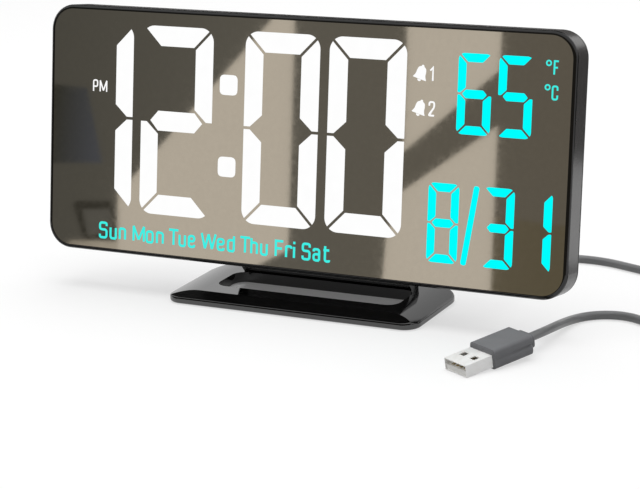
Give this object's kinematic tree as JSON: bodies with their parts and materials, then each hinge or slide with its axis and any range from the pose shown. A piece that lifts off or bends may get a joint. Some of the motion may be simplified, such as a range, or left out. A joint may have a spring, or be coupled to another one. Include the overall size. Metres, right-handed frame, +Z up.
{
  "type": "digital alarm clock",
  "caption": "Digital alarm clock with a wide mirror front and lit segment digits, leaning on a low hinged stand, with rear keys, a top snooze bar and a USB lead.",
  "frame": {"origin": "on the table, under the stand, 1.2 mm behind the middle of its plate", "axes": "+X to the right seen from the front, +Y to the back, +Z up"},
  "size_m": [0.2811, 0.1428, 0.1109],
  "materials": {
    "frame_black": "gloss",
    "mirror_panel": "half mirror",
    "mask_black": "matt",
    "diffuser_white": "milky",
    "reflector_white": "matt",
    "board": "satin",
    "led": "clear",
    "screw_steel": "bright",
    "chip_black": "matt",
    "can_metal": "bright",
    "snooze_black": "satin",
    "cover_black": "fine grain",
    "key_black": "satin",
    "cap_black": "satin",
    "cell_steel": "bright",
    "stand_black": "high gloss",
    "foot_rubber": "matt",
    "pin_steel": "ground",
    "washer_nylon": "satin",
    "plug_grey": "satin",
    "plug_nickel": "bright",
    "cord_grey": "satin",
    "tie_black": "satin",
    "shell_nickel": "bright",
    "tongue_white": "satin",
    "contact_gold": "gold plated"
  },
  "bodies": {
    "clock": {"front_frame": "frame_black", "mirror_panel": "mirror_panel", "panel_tape": "mask_black", "display_mask": "mask_black", "diffuser_sheet": "diffuser_white", "reflector_block": "reflector_white", "main_board": "board", "key_board": "board", "led_chips": "led", "board_screws": "screw_steel", "cover_screws": "screw_steel", "key_board_screws": "screw_steel", "controller": "chip_black", "display_driver": "chip_black", "clock_crystal": "can_metal", "temperature_sensor": "chip_black", "buzzer": "chip_black", "supply_capacitor": "can_metal", "power_socket": "chip_black", "snooze_switch": "chip_black", "key_switches": "chip_black", "rear_cover": "cover_black", "cell_holder": "cover_black", "coin_cell": "cell_steel", "hinge_pin": "pin_steel", "hinge_washers": "washer_nylon", "power_plug": "plug_grey", "plug_barrel": "plug_nickel", "cord_lead": "cord_grey", "cord_coil": "cord_grey", "cord_tail": "cord_grey", "cord_tie": "tie_black", "usb_grip": "plug_grey", "usb_shell": "shell_nickel", "usb_tongue": "tongue_white", "usb_contacts": "contact_gold"},
    "stand": {"stand_base": "stand_black", "rubber_feet": "foot_rubber"},
    "snooze": {"snooze_bar": "snooze_black"},
    "battery_cap": {"cell_cap": "cap_black"},
    "alarm_key": {"alarm_key": "key_black"},
    "set_key": {"set_key": "key_black"},
    "mode_key": {"mode_key": "key_black"},
    "up_key": {"up_key": "key_black"},
    "down_key": {"down_key": "key_black"}
  },
  "joints": [
    {"name": "stand_hinge", "type": "hinge", "parent": "clock", "child": "stand", "pos_m": [0, 0.0145, 0.019], "axis": [1, 0, 0], "range_deg": [-15, 9]},
    {"name": "snooze_press", "type": "slide", "parent": "clock", "child": "snooze", "axis": [0, -0.1564, -0.9877], "range_m": [0, 0.0008], "stiffness_N_per_m": 900},
    {"name": "cell_cap_turn", "type": "hinge", "parent": "clock", "child": "battery_cap", "pos_m": [-0.052, 0.01342, 0.04745], "axis": [0, 0.9877, -0.1564], "range_deg": [0, 40]},
    {"name": "alarm_key_press", "type": "slide", "parent": "clock", "child": "alarm_key", "axis": [0, -0.9877, 0.1564], "range_m": [0, 0.0006], "stiffness_N_per_m": 1500},
    {"name": "set_key_press", "type": "slide", "parent": "clock", "child": "set_key", "axis": [0, -0.9877, 0.1564], "range_m": [0, 0.0006], "stiffness_N_per_m": 1500},
    {"name": "mode_key_press", "type": "slide", "parent": "clock", "child": "mode_key", "axis": [0, -0.9877, 0.1564], "range_m": [0, 0.0006], "stiffness_N_per_m": 1500},
    {"name": "up_key_press", "type": "slide", "parent": "clock", "child": "up_key", "axis": [0, -0.9877, 0.1564], "range_m": [0, 0.0006], "stiffness_N_per_m": 1500},
    {"name": "down_key_press", "type": "slide", "parent": "clock", "child": "down_key", "axis": [0, -0.9877, 0.1564], "range_m": [0, 0.0006], "stiffness_N_per_m": 1500}
  ]
}
